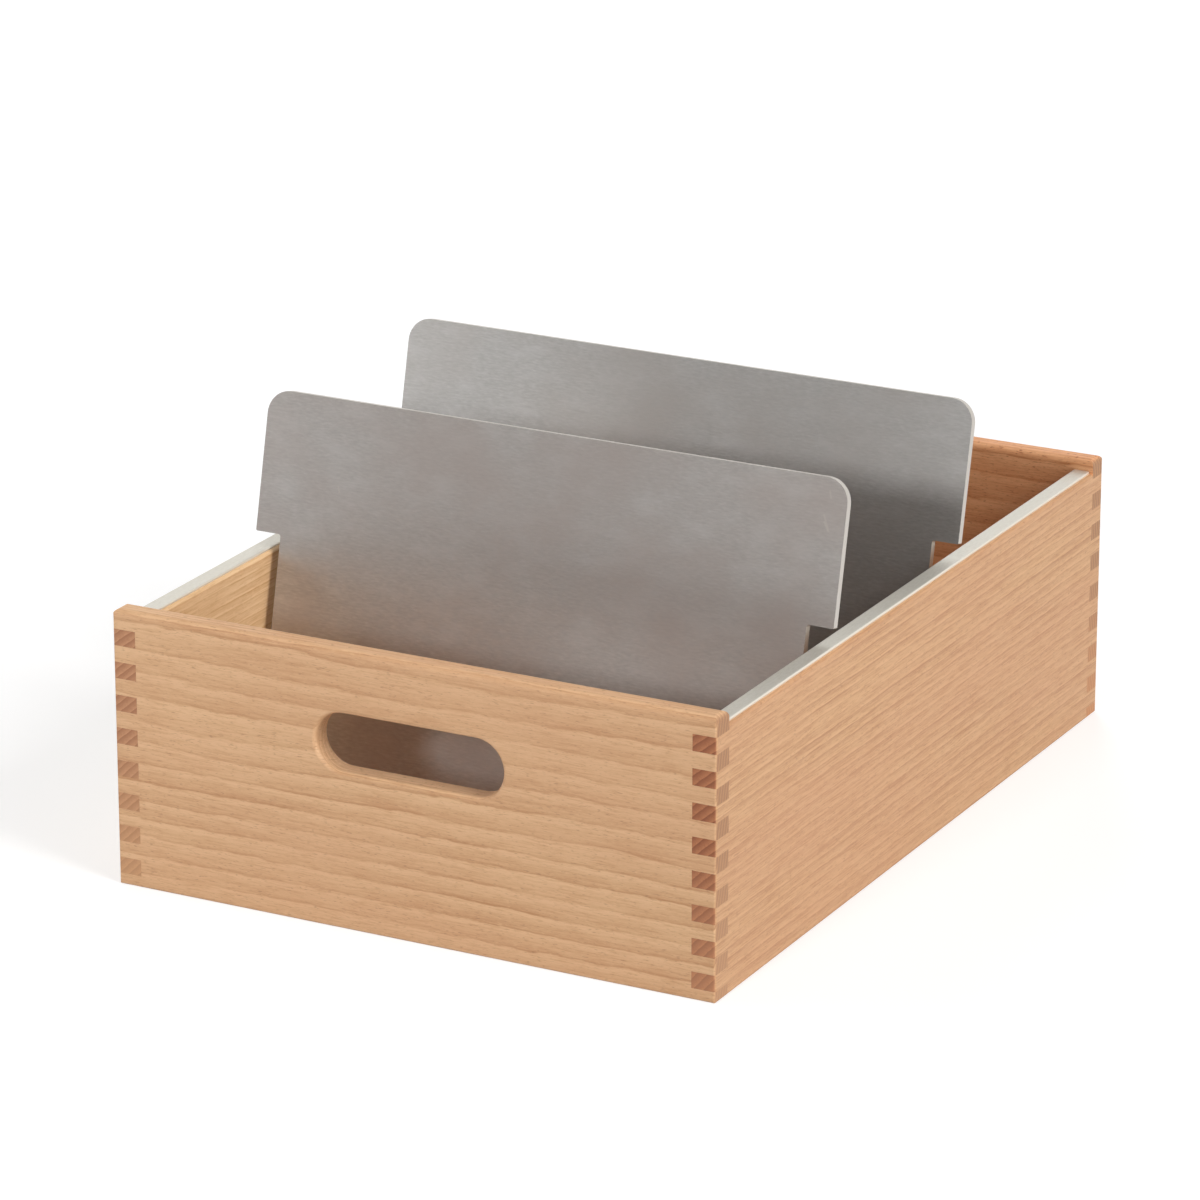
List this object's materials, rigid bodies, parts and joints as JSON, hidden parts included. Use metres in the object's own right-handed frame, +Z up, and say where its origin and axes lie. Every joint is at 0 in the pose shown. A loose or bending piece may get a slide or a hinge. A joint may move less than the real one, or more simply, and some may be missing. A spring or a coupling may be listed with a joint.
{
  "type": "index card box",
  "caption": "Open box-jointed wooden tray for index cards, with a hand hole, metal strips along its side walls and leaning sheet-metal support plates that slide along it.",
  "frame": {"origin": "middle of the rectangle that the box stands on", "axes": "+Z up, +Y along the box's length from the front board with the hand hole to the back board, +X to the right for someone who faces the front board"},
  "size_m": [0.241, 0.33, 0.1581],
  "materials": {
    "beech": "satin clear finish",
    "plywood": "sanded plywood",
    "strip_aluminium": "satin",
    "plate_aluminium": "mill finish with a fine grain along its width"
  },
  "bodies": {
    "box": {"front_board": "beech", "back_board": "beech", "left_side_board": "beech", "right_side_board": "beech", "floor_panel": "plywood", "left_edge_strip": "strip_aluminium", "right_edge_strip": "strip_aluminium"},
    "front_plate": {"front_support_plate": "plate_aluminium"},
    "rear_plate": {"rear_support_plate": "plate_aluminium"}
  },
  "joints": [
    {"name": "front_plate_slide", "type": "slide", "parent": "box", "child": "front_plate", "axis": [0, 1, 0], "range_m": [-0.064, 0.03]},
    {"name": "rear_plate_slide", "type": "slide", "parent": "box", "child": "rear_plate", "axis": [0, 1, 0], "range_m": [-0.03, 0.097]}
  ]
}
